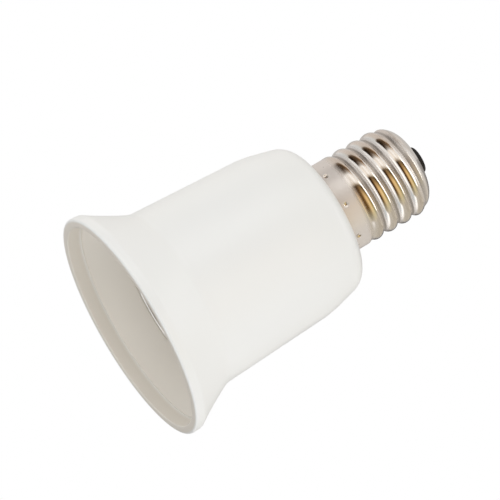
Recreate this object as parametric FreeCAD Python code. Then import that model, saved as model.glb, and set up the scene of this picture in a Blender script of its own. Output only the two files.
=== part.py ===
import FreeCAD, Part
import math
import os

# Screw adapter that makes a small lamp holder take a lamp with a larger screw cap.
# It stands on its mouth: z = 0 is the rim, +Z runs along the axis to the tip of the cap.
# Millimetres and degrees. Angles round the axis are counted from +X towards +Y.

# Socket sleeve, the female screw that the lamp goes into
SLEEVE_ROOT_RADIUS = 13.30
SLEEVE_SHEET = 0.35
SLEEVE_LENGTH = 23.30
SLEEVE_BEND = 0.90
SLEEVE_BEND_FLAT_COUNT = 3
SLEEVE_FLANGE_WIDTH = 3.40
SLEEVE_TAB_WIDTH = 3.20
SLEEVE_CLEARANCE = 0.30

# Housing, one white moulding
MOUTH_RADIUS = 19.10
MOUTH_DEPTH = 2.60
MOUTH_STEP = 0.40
MOUTH_EDGE = 0.25
RIM_WALL = 1.68
RIM_ROUND = 0.49
RIM_FLAT_COUNT = 3
RIM_BAND = 1.80
RIM_DRAFT = 0.11
SLEEVE_INSET = 8.20
FUNNEL_LAND = 0.40
FLARE_LENGTH = 7.785
FLARE_SAG = 0.13
BODY_WALL = 1.185
BODY_DRAFT = 3.18
SHOULDER_HEIGHT = 7.61
SHOULDER_ANGLE = 17.5
SHOULDER_ROUND = 4.02
SHOULDER_FLAT_COUNT = 4
FLOOR_THICKNESS = 3.00
END_BLOCK = 8.23
NECK_HEIGHT = 3.15
NECK_WALL = 1.52
NECK_CHAMFER = 0.30
NECK_FIT = 0.03
PAD_HEIGHT = 1.20
PAD_MARGIN = 0.70
PAD_SPACE = 0.35
PAD_CLEARANCE = 0.60

# Screw cap, the male screw rolled in thin plated sheet
CAP_CREST_RADIUS = 8.25
CAP_SHEET = 0.30
CAP_SKIRT_RELIEF = 0.10
CAP_SEAT_GAP = 0.02
CAP_THREAD_START = 3.20
CAP_FADE_IN = 2.10
CAP_SHOULDER_START = 13.47
CAP_SHOULDER_ROUND = 4.00
CAP_SHOULDER_FLAT_COUNT = 5
CAP_END_ANGLE = 14.0
CAP_HOLE_RADIUS = 2.60
STAKE_COUNT = 8
STAKE_FIRST_ANGLE = -86.5
STAKE_HEIGHT = 1.57
STAKE_RADIUS = 0.45
STAKE_DEPTH = 0.30

# Tip insulator and its hollow rivet
TIP_FIT = 0.03
TIP_PLATE_RADIUS = 5.80
TIP_PLATE_THICKNESS = 2.00
TIP_BOSS_HEIGHT = 0.90
TIP_TOP_RADIUS = 1.80
EYELET_TUBE_RADIUS = 0.85
EYELET_WALL = 0.33
EYELET_FLANGE_RADIUS = 1.25
EYELET_FLANGE_THICKNESS = 0.25
EYELET_CLINCH_RADIUS = 1.30
EYELET_CLINCH_HEIGHT = 0.40
TIP_SOLDER_HEIGHT = 0.35
TIP_SOLDER_PLUG = 0.60

# Centre contact, a bent leaf of spring bronze, with its rivet and solder tag
LEAF_THICKNESS = 0.35
LEAF_BACK = 2.20
LEAF_BEND = 1.00
LEAF_RISE_ANGLE = 38.0
LEAF_RISE = 3.20
LEAF_NOSE = 1.00
LEAF_FALL_ANGLE = 32.0
LEAF_FALL = 1.30
LEAF_CORNER = 0.80
RIVET_SHANK_RADIUS = 1.00
RIVET_HEAD_RADIUS = 1.70
RIVET_HEAD_HEIGHT = 0.70
RIVET_HEAD_FLAT = 0.85
RIVET_HEAD_BULGE = 0.28
RIVET_UPSET_RADIUS = 1.45
RIVET_UPSET_HEIGHT = 0.55
RIVET_FIT = 0.03
TAG_THICKNESS = 0.40
TAG_RING_RADIUS = 1.90
TAG_WIDTH = 1.60
TAG_BEND = 0.50
TAG_REACH = 1.40
TAG_TAIL = 2.30
TAG_SPACE = 0.80

# Screws that hold the sleeve
SCREW_SHANK_RADIUS = 0.95
SCREW_HEAD_RADIUS = 1.60
SCREW_HEAD_HEIGHT = 1.10
SCREW_HEAD_FLAT = 1.10
SCREW_HEAD_SIDE = 0.66
SCREW_HEAD_BULGE = 0.12
SCREW_LENGTH = 5.00
SCREW_POINT = 1.00
SCREW_SLOT_WIDTH = 0.45
SCREW_SLOT_DEPTH = 0.50
SCREW_FIT = 0.05
SCREW_HOLE_SPARE = 0.40
SCREW_TURNS = (25.0, 70.0)

# Leads
CORE_RADIUS = 0.40
JACKET_RADIUS = 0.75
JACKET_GAP = 0.02
LEAD_HOLE_FIT = 0.10
LEAD_SPACE = 0.15
LEAD_TAIL = 1.60
LEAD_BARE = 1.80
LEAD_BEND = 12.0
LEAD_SHIFT_START = 6.0
LEAD_SHIFT_LENGTH = 5.5
TAG_SOLDER_RADIUS = 1.05
SLEEVE_SOLDER_RADIUS = 1.30
SLEEVE_SOLDER_HEIGHT = 0.80

# Heights worked out from the sizes above
FLOOR_Z = SLEEVE_INSET + SLEEVE_LENGTH
END_Z = FLOOR_Z + END_BLOCK
CAVITY_Z = FLOOR_Z + FLOOR_THICKNESS
NECK_TOP_Z = END_Z + NECK_HEIGHT
PAD_Z = FLOOR_Z - PAD_HEIGHT
STAKE_Z = END_Z + STAKE_HEIGHT

# Radii worked out from the sizes above
SLEEVE_OUTER_RADIUS = SLEEVE_ROOT_RADIUS + SLEEVE_SHEET
SLEEVE_FLANGE_RADIUS = SLEEVE_ROOT_RADIUS - SLEEVE_BEND - SLEEVE_FLANGE_WIDTH
BORE_RADIUS = SLEEVE_OUTER_RADIUS + SLEEVE_CLEARANCE
SKIRT_RADIUS = CAP_CREST_RADIUS - CAP_SKIRT_RELIEF
SKIRT_INNER_RADIUS = SKIRT_RADIUS - CAP_SHEET
NECK_RADIUS = SKIRT_INNER_RADIUS - NECK_FIT
CAVITY_RADIUS = NECK_RADIUS - NECK_WALL

# Where the rivet, the screws and the leads stand; the sleeve's lead lies between two stakes
RIVET_OFFSET = CAVITY_RADIUS - TAG_RING_RADIUS - TAG_SPACE
SCREW_CIRCLE = SLEEVE_FLANGE_RADIUS + SLEEVE_FLANGE_WIDTH / 2
LEAD_ANGLE = STAKE_FIRST_ANGLE + 360.0 / STAKE_COUNT * 4.5
LEAD_INNER_RADIUS = CAVITY_RADIUS - JACKET_RADIUS - LEAD_SPACE
LEAD_OUTER_RADIUS = SKIRT_INNER_RADIUS - CORE_RADIUS - 2 * JACKET_GAP
TAG_FACE_X = -RIVET_OFFSET + TAG_REACH + TAG_BEND + TAG_THICKNESS / 2
CENTRE_LEAD_X = TAG_FACE_X + CORE_RADIUS + JACKET_GAP / 2

# The pad keeps clear of the solder on the sleeve's tab, and carries the leaf
PAD_HALF_WIDTH = LEAD_INNER_RADIUS * math.sin(math.radians(LEAD_ANGLE)) - SLEEVE_SOLDER_RADIUS - PAD_SPACE
LEAF_WIDTH = 2 * (PAD_HALF_WIDTH - PAD_MARGIN)

# How far a cutting shape stands out of what it cuts
CUT_SPARE = 1.0

AXIS = FreeCAD.Vector(0, 0, 1)
ORIGIN = FreeCAD.Vector(0, 0, 0)


def at(radius, z):
    """Point of a profile in the XZ plane."""
    return FreeCAD.Vector(radius, 0, z)


def sine(angle):
    return math.sin(math.radians(angle))


def cosine(angle):
    return math.cos(math.radians(angle))


def tangent(angle):
    return math.tan(math.radians(angle))


def outline(start, *steps):
    """Closed profile: each step is a point to draw a line to, or (through, end) for an arc."""
    edges = []
    here = start
    for step in steps:
        if isinstance(step, tuple):
            through, end = step
            edges.append(Part.Arc(here, through, end).toShape())
        else:
            end = step
            edges.append(Part.LineSegment(here, end).toShape())
        here = end
    edges.append(Part.LineSegment(here, start).toShape())
    return Part.Face(Part.Wire(edges))


def turned(start, *steps):
    """Solid of revolution of a closed profile about the axis."""
    return outline(start, *steps).revolve(ORIGIN, AXIS, 360)


def cylinder(radius, z_low, z_high, x=0.0):
    return Part.makeCylinder(radius, z_high - z_low, at(x, z_low))


def block(x_low, x_high, y_low, y_high, z_low, z_high):
    corner = FreeCAD.Vector(x_low, y_low, z_low)
    return Part.makeBox(x_high - x_low, y_high - y_low, z_high - z_low, corner)


def swung(shape, angle):
    """Copy of a shape turned about the axis."""
    copy = shape.copy()
    copy.rotate(ORIGIN, AXIS, angle)
    return copy


def arc_point(centre, radius, angle):
    """Point of a circle in the XZ plane, its angle counted from +X towards +Z."""
    return at(centre.x + radius * cosine(angle), centre.z + radius * sine(angle))


def flats(centre, radius, first, last, count):
    """Corners of a round made of equal flats, between two angles."""
    step = (last - first) / count
    return [arc_point(centre, radius, first + step * index) for index in range(count + 1)]


def sagged(start, end, sag):
    """Point beside the middle of a chord, moved towards the axis across the chord."""
    across = (end - start).cross(FreeCAD.Vector(0, 1, 0)).normalize()
    if across.x > 0:
        across = -across
    return (start + end) * 0.5 + across * sag


def beside(point, heading, distance):
    """Point moved sideways in the XZ plane, to the left of a heading counted from +X to +Z."""
    return at(point.x - sine(heading) * distance, point.z + cosine(heading) * distance)


def walk(start, heading, step, share):
    """Point and heading after a share of one step, a flat (length, 0) or a bend (radius, turn)."""
    size, turn = step
    if turn == 0:
        run = size * share
        return at(start.x + run * cosine(heading), start.z + run * sine(heading)), heading
    reach = math.copysign(size, turn)
    centre = beside(start, heading, reach)
    heading += turn * share
    return beside(centre, heading, -reach), heading


def bent_strip(start, steps, thickness, width):
    """Strip folded in the XZ plane, from a point and heading along +X."""
    half = thickness / 2
    edges = []
    here, heading = start, 0.0
    for step in steps:
        middle, middle_heading = walk(here, heading, step, 0.5)
        there, end_heading = walk(here, heading, step, 1.0)
        for offset in (half, -half):
            first = beside(here, heading, offset)
            through = beside(middle, middle_heading, offset)
            last = beside(there, end_heading, offset)
            if step[1] == 0:
                edges.append(Part.LineSegment(first, last).toShape())
            else:
                edges.append(Part.Arc(first, through, last).toShape())
        here, heading = there, end_heading
    for point, angle in ((start, 0.0), (here, heading)):
        ends = beside(point, angle, half), beside(point, angle, -half)
        edges.append(Part.LineSegment(*ends).toShape())
    face = Part.Face(Part.Wire(Part.__sortEdges__(edges)))
    face.translate(FreeCAD.Vector(0, -width / 2, 0))
    return face.extrude(FreeCAD.Vector(0, width, 0))


def round_bar(points, bend, radius):
    """Bar along straight runs joined by tangent arcs."""
    edges = []
    here = points[0]
    for corner, after in zip(points[1:], points[2:]):
        into = (corner - here).normalize()
        out = (after - corner).normalize()
        turn = into.getAngle(out)
        trim = bend * math.tan(turn / 2)
        arc_start = corner - into * trim
        arc_end = corner + out * trim
        inwards = (out - into).normalize()
        through = corner + inwards * (bend / math.cos(turn / 2) - bend)
        if here.distanceToPoint(arc_start) > 1e-6:
            edges.append(Part.LineSegment(here, arc_start).toShape())
        edges.append(Part.Arc(arc_start, through, arc_end).toShape())
        here = arc_end
    edges.append(Part.LineSegment(here, points[-1]).toShape())
    direction = (points[1] - points[0]).normalize()
    circle = Part.Wire(Part.Circle(points[0], direction, radius).toShape())
    return Part.Wire(edges).makePipeShell([circle], True, False)


def cap_shoulder_centre():
    return at(CAP_CREST_RADIUS - CAP_SHOULDER_ROUND, END_Z + CAP_SHOULDER_START)


def cap_cone_z(radius, inset):
    """Height of the cap's conical end, at a depth inside its outer face."""
    centre = cap_shoulder_centre()
    corner = arc_point(centre, CAP_SHOULDER_ROUND - inset, 90.0 - CAP_END_ANGLE)
    return corner.z + (corner.x - radius) * tangent(CAP_END_ANGLE)


def stakes(radius_added):
    """The round stakes that lock the cap's skirt into the neck, as balls."""
    ball = (STAKE_RADIUS**2 + STAKE_DEPTH**2) / (2 * STAKE_DEPTH)
    centre = at(SKIRT_RADIUS - STAKE_DEPTH + ball, STAKE_Z)
    one = Part.makeSphere(ball + radius_added, centre)
    step = 360.0 / STAKE_COUNT
    return [swung(one, STAKE_FIRST_ANGLE + step * index) for index in range(STAKE_COUNT)]


def cap_shell():
    bottom_z = END_Z + CAP_SEAT_GAP
    grown_z = END_Z + CAP_THREAD_START + CAP_FADE_IN
    centre = cap_shoulder_centre()
    cone_angle = 90.0 - CAP_END_ANGLE
    inner_round = CAP_SHOULDER_ROUND - CAP_SHEET
    crest_inner = CAP_CREST_RADIUS - CAP_SHEET
    shell = turned(
        at(SKIRT_RADIUS, bottom_z),
        at(SKIRT_RADIUS, END_Z + CAP_THREAD_START),
        at(CAP_CREST_RADIUS, grown_z),
        *flats(centre, CAP_SHOULDER_ROUND, 0.0, cone_angle, CAP_SHOULDER_FLAT_COUNT),
        at(CAP_HOLE_RADIUS, cap_cone_z(CAP_HOLE_RADIUS, 0)),
        at(CAP_HOLE_RADIUS, cap_cone_z(CAP_HOLE_RADIUS, CAP_SHEET)),
        *flats(centre, inner_round, cone_angle, 0.0, CAP_SHOULDER_FLAT_COUNT),
        at(crest_inner, grown_z),
        at(SKIRT_INNER_RADIUS, END_Z + CAP_THREAD_START),
        at(SKIRT_INNER_RADIUS, bottom_z),
    )
    mid_sheet = cylinder(SKIRT_RADIUS - CAP_SHEET / 2, END_Z - CUT_SPARE, END_Z + CAP_THREAD_START)
    for dent, bump in zip(stakes(0.0), stakes(CAP_SHEET)):
        shell = shell.fuse(bump.common(mid_sheet)).cut(dent)
    return shell


def socket_sleeve():
    """Sleeve with its bottom turned in to a flange, which keeps one tab for the lead."""
    flange_z = FLOOR_Z - SLEEVE_SHEET
    half_tab = SLEEVE_TAB_WIDTH / 2
    bend_centre = at(SLEEVE_ROOT_RADIUS - SLEEVE_BEND, flange_z - SLEEVE_BEND)
    shell = turned(
        at(SLEEVE_ROOT_RADIUS, SLEEVE_INSET),
        *flats(bend_centre, SLEEVE_BEND, 0.0, 90.0, SLEEVE_BEND_FLAT_COUNT),
        at(LEAD_INNER_RADIUS - half_tab, flange_z),
        at(LEAD_INNER_RADIUS - half_tab, FLOOR_Z),
        *flats(bend_centre, SLEEVE_BEND + SLEEVE_SHEET, 90.0, 0.0, SLEEVE_BEND_FLAT_COUNT),
        at(SLEEVE_OUTER_RADIUS, SLEEVE_INSET),
    )
    low_z, high_z = flange_z - CUT_SPARE, FLOOR_Z + CUT_SPARE
    tab = block(
        LEAD_INNER_RADIUS, SLEEVE_FLANGE_RADIUS + CUT_SPARE, -half_tab, half_tab, low_z, high_z
    )
    tab = tab.fuse(cylinder(half_tab, low_z, high_z, LEAD_INNER_RADIUS))
    lead_hole = cylinder(CORE_RADIUS + JACKET_GAP, low_z, high_z, LEAD_INNER_RADIUS)
    opening = cylinder(SLEEVE_FLANGE_RADIUS, low_z, high_z).cut(tab).fuse(lead_hole)
    shell = shell.cut(swung(opening, LEAD_ANGLE))
    for side in (-1, 1):
        hole_radius = SCREW_SHANK_RADIUS + SCREW_FIT
        shell = shell.cut(cylinder(hole_radius, low_z, high_z, side * SCREW_CIRCLE))
    return shell


def housing():
    mouth_outer = MOUTH_RADIUS + RIM_WALL
    flare_top_z = RIM_BAND + FLARE_LENGTH
    shoulder_z = END_Z - SHOULDER_HEIGHT
    body_top_radius = BORE_RADIUS + BODY_WALL
    body_low_radius = body_top_radius + (shoulder_z - flare_top_z) * tangent(BODY_DRAFT)
    round_z = END_Z - SHOULDER_ROUND
    cone_run = SHOULDER_HEIGHT - SHOULDER_ROUND * (1 - sine(SHOULDER_ANGLE))
    round_centre = at(
        body_top_radius
        - cone_run * tangent(SHOULDER_ANGLE)
        - SHOULDER_ROUND * cosine(SHOULDER_ANGLE),
        round_z,
    )
    rim_centre = at(mouth_outer - RIM_ROUND, RIM_ROUND)
    funnel_start = at(MOUTH_RADIUS - MOUTH_STEP, MOUTH_DEPTH)
    funnel_end = at(BORE_RADIUS + FUNNEL_LAND, SLEEVE_INSET)
    flare_start = at(mouth_outer - RIM_DRAFT, RIM_BAND)
    flare_end = at(body_low_radius, flare_top_z)
    body = turned(
        at(MOUTH_RADIUS + MOUTH_EDGE, 0),
        at(MOUTH_RADIUS, MOUTH_EDGE),
        at(MOUTH_RADIUS, MOUTH_DEPTH),
        funnel_start,
        sagged(funnel_start, funnel_end, FLARE_SAG),
        funnel_end,
        at(BORE_RADIUS, SLEEVE_INSET + FUNNEL_LAND),
        at(BORE_RADIUS, FLOOR_Z),
        at(0, FLOOR_Z),
        at(0, CAVITY_Z),
        at(CAVITY_RADIUS, CAVITY_Z),
        at(CAVITY_RADIUS, NECK_TOP_Z),
        at(NECK_RADIUS - NECK_CHAMFER, NECK_TOP_Z),
        at(NECK_RADIUS, NECK_TOP_Z - NECK_CHAMFER),
        at(NECK_RADIUS, END_Z),
        *flats(round_centre, SHOULDER_ROUND, 90.0, SHOULDER_ANGLE, SHOULDER_FLAT_COUNT),
        at(body_top_radius, shoulder_z),
        flare_end,
        sagged(flare_end, flare_start, FLARE_SAG),
        flare_start,
        *flats(rim_centre, RIM_ROUND, 0.0, -90.0, RIM_FLAT_COUNT),
    )
    pad_reach = RIVET_OFFSET + LEAF_BACK + PAD_MARGIN
    pad = block(-pad_reach, pad_reach, -PAD_HALF_WIDTH, PAD_HALF_WIDTH, PAD_Z, FLOOR_Z)
    room = cylinder(SLEEVE_FLANGE_RADIUS - PAD_CLEARANCE, PAD_Z, FLOOR_Z)
    body = body.fuse(pad.common(room))
    holes = [
        cylinder(RIVET_SHANK_RADIUS + RIVET_FIT, PAD_Z - CUT_SPARE, CAVITY_Z + CUT_SPARE, -RIVET_OFFSET),
    ]
    lead_hole = cylinder(
        JACKET_RADIUS + LEAD_HOLE_FIT, FLOOR_Z - CUT_SPARE, CAVITY_Z + CUT_SPARE, LEAD_INNER_RADIUS
    )
    groove_radius = CORE_RADIUS + JACKET_GAP
    groove_z = NECK_TOP_Z - LEAD_TAIL - JACKET_GAP
    groove = cylinder(groove_radius, groove_z, NECK_TOP_Z + CUT_SPARE, LEAD_OUTER_RADIUS)
    mouth = block(
        LEAD_OUTER_RADIUS, NECK_RADIUS + CUT_SPARE,
        -groove_radius, groove_radius, groove_z, NECK_TOP_Z + CUT_SPARE,
    )
    holes.append(swung(lead_hole, LEAD_ANGLE))
    holes.append(swung(groove.fuse(mouth), LEAD_ANGLE))
    for side in (-1, 1):
        depth_z = FLOOR_Z - SLEEVE_SHEET + SCREW_LENGTH + SCREW_HOLE_SPARE
        holes.append(cylinder(SCREW_SHANK_RADIUS, FLOOR_Z - CUT_SPARE, depth_z, side * SCREW_CIRCLE))
    holes.extend(stakes(CAP_SHEET + NECK_FIT))
    for hole in holes:
        body = body.cut(hole)
    return body.removeSplitter()


def tip_heights():
    """Under side of the insulator and its top."""
    depth = CAP_SHEET + TIP_FIT
    plate_z = cap_cone_z(CAP_HOLE_RADIUS, depth) - TIP_PLATE_THICKNESS
    return plate_z, cap_cone_z(CAP_HOLE_RADIUS, 0) + TIP_BOSS_HEIGHT


def tip_insulator():
    """Black moulding behind the cap's end, with a boss that comes out through its hole."""
    depth = CAP_SHEET + TIP_FIT
    centre = cap_shoulder_centre()
    follow = CAP_SHOULDER_ROUND - depth
    cone_angle = 90.0 - CAP_END_ANGLE
    boss_radius = CAP_HOLE_RADIUS - TIP_FIT
    plate_z, top_z = tip_heights()
    bore = EYELET_TUBE_RADIUS + TIP_FIT
    recess = EYELET_FLANGE_RADIUS + TIP_FIT
    moulding = turned(
        at(bore, centre.z),
        *flats(centre, follow, 0.0, cone_angle, CAP_SHOULDER_FLAT_COUNT),
        at(boss_radius, cap_cone_z(boss_radius, depth)),
        at(boss_radius, top_z - TIP_BOSS_HEIGHT),
        at(TIP_TOP_RADIUS, top_z),
        at(recess, top_z),
        at(recess, top_z - EYELET_FLANGE_THICKNESS),
        at(bore, top_z - EYELET_FLANGE_THICKNESS),
    )
    return moulding.common(cylinder(TIP_PLATE_RADIUS, plate_z, top_z))


def tip_eyelet():
    """Hollow rivet through the insulator, clinched inside."""
    plate_z, top_z = tip_heights()
    flange_z = top_z - EYELET_FLANGE_THICKNESS
    clinch_z = plate_z - EYELET_CLINCH_HEIGHT
    inner = EYELET_TUBE_RADIUS - EYELET_WALL
    return turned(
        at(inner, clinch_z),
        at(EYELET_CLINCH_RADIUS, clinch_z),
        at(EYELET_CLINCH_RADIUS, plate_z),
        at(EYELET_TUBE_RADIUS, plate_z),
        at(EYELET_TUBE_RADIUS, flange_z),
        at(EYELET_FLANGE_RADIUS, flange_z),
        at(EYELET_FLANGE_RADIUS, top_z),
        at(inner, top_z),
    )


def tip_solder():
    """Dome on the eyelet, with a plug in its bore: the outer contact of the cap."""
    top_z = tip_heights()[1]
    plug = EYELET_TUBE_RADIUS - EYELET_WALL
    dome = (EYELET_FLANGE_RADIUS**2 + TIP_SOLDER_HEIGHT**2) / (2 * TIP_SOLDER_HEIGHT)
    centre = at(0, top_z + TIP_SOLDER_HEIGHT - dome)
    side_angle = math.degrees(math.acos(EYELET_FLANGE_RADIUS / dome))
    return turned(
        at(0, top_z - TIP_SOLDER_PLUG),
        at(plug, top_z - TIP_SOLDER_PLUG),
        at(plug, top_z),
        at(EYELET_FLANGE_RADIUS, top_z),
        (
            arc_point(centre, dome, (side_angle + 90.0) / 2),
            at(0, top_z + TIP_SOLDER_HEIGHT),
        ),
    )


def centre_contact():
    """Spring leaf: its root lies on the pad, its nose rises over the axis."""
    start = at(-RIVET_OFFSET - LEAF_BACK, PAD_Z - LEAF_THICKNESS / 2)
    steps = [
        (LEAF_BACK + RIVET_HEAD_RADIUS + LEAF_THICKNESS, 0),
        (LEAF_BEND, -LEAF_RISE_ANGLE),
        (LEAF_RISE, 0),
        (LEAF_NOSE, LEAF_RISE_ANGLE + LEAF_FALL_ANGLE),
        (LEAF_FALL, 0),
    ]
    leaf = bent_strip(start, steps, LEAF_THICKNESS, LEAF_WIDTH)
    root_corners = [
        edge
        for edge in leaf.Edges
        if abs(edge.CenterOfMass.x - start.x) < 1e-6 and edge.Length < 2 * LEAF_THICKNESS
    ]
    leaf = leaf.makeFillet(LEAF_CORNER, root_corners)
    hole_radius = RIVET_SHANK_RADIUS + RIVET_FIT
    return leaf.cut(cylinder(hole_radius, PAD_Z - CUT_SPARE, PAD_Z + CUT_SPARE, -RIVET_OFFSET))


def centre_rivet():
    """Solid rivet with a domed head on the leaf, upset over the solder tag."""
    head_z = PAD_Z - LEAF_THICKNESS
    upset_z = CAVITY_Z + TAG_THICKNESS
    crown = at(RIVET_HEAD_FLAT, head_z - RIVET_HEAD_HEIGHT)
    brim = at(RIVET_HEAD_RADIUS, head_z)
    rivet = turned(
        at(0, crown.z),
        crown,
        sagged(crown, brim, -RIVET_HEAD_BULGE),
        brim,
        at(RIVET_SHANK_RADIUS, head_z),
        at(RIVET_SHANK_RADIUS, upset_z),
        at(RIVET_UPSET_RADIUS, upset_z),
        at(RIVET_UPSET_RADIUS, upset_z + RIVET_UPSET_HEIGHT / 2),
        at(RIVET_SHANK_RADIUS, upset_z + RIVET_UPSET_HEIGHT),
        at(0, upset_z + RIVET_UPSET_HEIGHT),
    )
    rivet.translate(FreeCAD.Vector(-RIVET_OFFSET, 0, 0))
    return rivet


def centre_tag():
    """Solder tag under the rivet's upset end, its tail bent up."""
    start = at(-RIVET_OFFSET, CAVITY_Z + TAG_THICKNESS / 2)
    steps = [(TAG_REACH, 0), (TAG_BEND, 90.0), (TAG_TAIL, 0)]
    tail = bent_strip(start, steps, TAG_THICKNESS, TAG_WIDTH)
    ring = cylinder(TAG_RING_RADIUS, CAVITY_Z, CAVITY_Z + TAG_THICKNESS, -RIVET_OFFSET)
    bend_x = -RIVET_OFFSET + TAG_REACH
    ring = ring.cut(
        block(
            bend_x, bend_x + TAG_RING_RADIUS, -TAG_RING_RADIUS, TAG_RING_RADIUS,
            CAVITY_Z - CUT_SPARE, CAVITY_Z + CUT_SPARE,
        )
    )
    hole_radius = RIVET_SHANK_RADIUS + RIVET_FIT
    hole = cylinder(hole_radius, CAVITY_Z - CUT_SPARE, CAVITY_Z + CUT_SPARE, -RIVET_OFFSET)
    return tail.fuse(ring).cut(hole).removeSplitter()


def centre_lead_points():
    top_z = tip_heights()[1]
    start_z = CAVITY_Z + TAG_THICKNESS + TAG_BEND
    shift_z = CAVITY_Z + LEAD_SHIFT_START
    return [
        at(CENTRE_LEAD_X, start_z),
        at(CENTRE_LEAD_X, shift_z),
        at(0, shift_z + LEAD_SHIFT_LENGTH),
        at(0, top_z - TIP_SOLDER_PLUG),
    ]


def centre_lead_core():
    return round_bar(centre_lead_points(), LEAD_BEND, CORE_RADIUS)


def centre_lead_jacket():
    plate_z = tip_heights()[0]
    points = centre_lead_points()
    points[0] = at(CENTRE_LEAD_X, CAVITY_Z + TAG_BEND + TAG_TAIL + LEAD_BARE)
    points[-1] = at(0, plate_z - EYELET_CLINCH_HEIGHT - LEAD_BARE)
    outer = round_bar(points, LEAD_BEND, JACKET_RADIUS)
    return outer.cut(round_bar(centre_lead_points(), LEAD_BEND, CORE_RADIUS + JACKET_GAP))


def tag_solder():
    """Bead that joins the centre lead to the tail of the tag."""
    z = CAVITY_Z + TAG_THICKNESS + TAG_BEND + TAG_TAIL / 2
    bead = Part.makeSphere(TAG_SOLDER_RADIUS, at(CENTRE_LEAD_X - CORE_RADIUS / 2, z))
    return bead.cut(centre_tag()).cut(centre_lead_core()).Solids[0]


def sleeve_lead_points():
    top_z = NECK_TOP_Z + 2 * JACKET_GAP + (LEAD_OUTER_RADIUS - LEAD_INNER_RADIUS) / 2
    return [
        at(LEAD_INNER_RADIUS, FLOOR_Z - SLEEVE_SHEET - SLEEVE_SOLDER_HEIGHT / 2),
        at(LEAD_INNER_RADIUS, top_z),
        at(LEAD_OUTER_RADIUS, top_z),
        at(LEAD_OUTER_RADIUS, NECK_TOP_Z - LEAD_TAIL),
    ]


def sleeve_lead_core():
    """Conductor from the sleeve's tab, over the neck and down between neck and skirt."""
    bend = (LEAD_OUTER_RADIUS - LEAD_INNER_RADIUS) / 2
    return swung(round_bar(sleeve_lead_points(), bend, CORE_RADIUS), LEAD_ANGLE)


def sleeve_lead_jacket():
    low_z = FLOOR_Z + LEAD_HOLE_FIT
    high_z = NECK_TOP_Z - LEAD_BARE
    jacket = cylinder(JACKET_RADIUS, low_z, high_z, LEAD_INNER_RADIUS)
    bore = cylinder(CORE_RADIUS + JACKET_GAP, low_z - CUT_SPARE, high_z + CUT_SPARE, LEAD_INNER_RADIUS)
    return swung(jacket.cut(bore), LEAD_ANGLE)


def sleeve_solder():
    """Dome of solder on the sleeve's tab."""
    face_z = FLOOR_Z - SLEEVE_SHEET
    dome = (SLEEVE_SOLDER_RADIUS**2 + SLEEVE_SOLDER_HEIGHT**2) / (2 * SLEEVE_SOLDER_HEIGHT)
    ball = Part.makeSphere(dome, at(LEAD_INNER_RADIUS, face_z - SLEEVE_SOLDER_HEIGHT + dome))
    above = cylinder(dome, face_z - 2 * dome, face_z, LEAD_INNER_RADIUS)
    return swung(ball.common(above), LEAD_ANGLE).cut(sleeve_lead_core())


def sleeve_screws():
    """Two slotted screws, one each side, through the sleeve's flange into the floor."""
    seat_z = FLOOR_Z - SLEEVE_SHEET
    tip_z = seat_z + SCREW_LENGTH
    crown = at(SCREW_HEAD_FLAT, seat_z - SCREW_HEAD_HEIGHT)
    brim = at(SCREW_HEAD_RADIUS, seat_z - SCREW_HEAD_SIDE)
    screw = turned(
        at(0, crown.z),
        crown,
        sagged(crown, brim, -SCREW_HEAD_BULGE),
        brim,
        at(SCREW_HEAD_RADIUS, seat_z),
        at(SCREW_SHANK_RADIUS, seat_z),
        at(SCREW_SHANK_RADIUS, tip_z - SCREW_POINT),
        at(0, tip_z),
    )
    slot = block(
        -SCREW_HEAD_RADIUS - CUT_SPARE, SCREW_HEAD_RADIUS + CUT_SPARE,
        -SCREW_SLOT_WIDTH / 2, SCREW_SLOT_WIDTH / 2,
        seat_z - SCREW_HEAD_HEIGHT - CUT_SPARE, seat_z - SCREW_HEAD_HEIGHT + SCREW_SLOT_DEPTH,
    )
    screw = screw.cut(slot)
    pair = []
    for side, turn in zip((-1, 1), SCREW_TURNS):
        one = swung(screw, turn)
        one.translate(FreeCAD.Vector(side * SCREW_CIRCLE, 0, 0))
        pair.append(one)
    return Part.makeCompound(pair)


PARTS = {
    "housing": housing,
    "cap_shell": cap_shell,
    "socket_sleeve": socket_sleeve,
    "sleeve_screws": sleeve_screws,
    "tip_insulator": tip_insulator,
    "tip_eyelet": tip_eyelet,
    "tip_solder": tip_solder,
    "centre_contact": centre_contact,
    "centre_rivet": centre_rivet,
    "centre_tag": centre_tag,
    "centre_lead_core": centre_lead_core,
    "centre_lead_jacket": centre_lead_jacket,
    "tag_solder": tag_solder,
    "sleeve_lead_core": sleeve_lead_core,
    "sleeve_lead_jacket": sleeve_lead_jacket,
    "sleeve_solder": sleeve_solder,
}

os.makedirs("parts", exist_ok=True)
for name, build in PARTS.items():
    shape = build()
    shape.exportStep("parts/" + name + ".step")
    print(name, len(shape.Solids), shape.isValid(), round(shape.Volume, 3))
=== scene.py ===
import math

import bmesh
import bpy
from mathutils import Matrix, Vector


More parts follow.
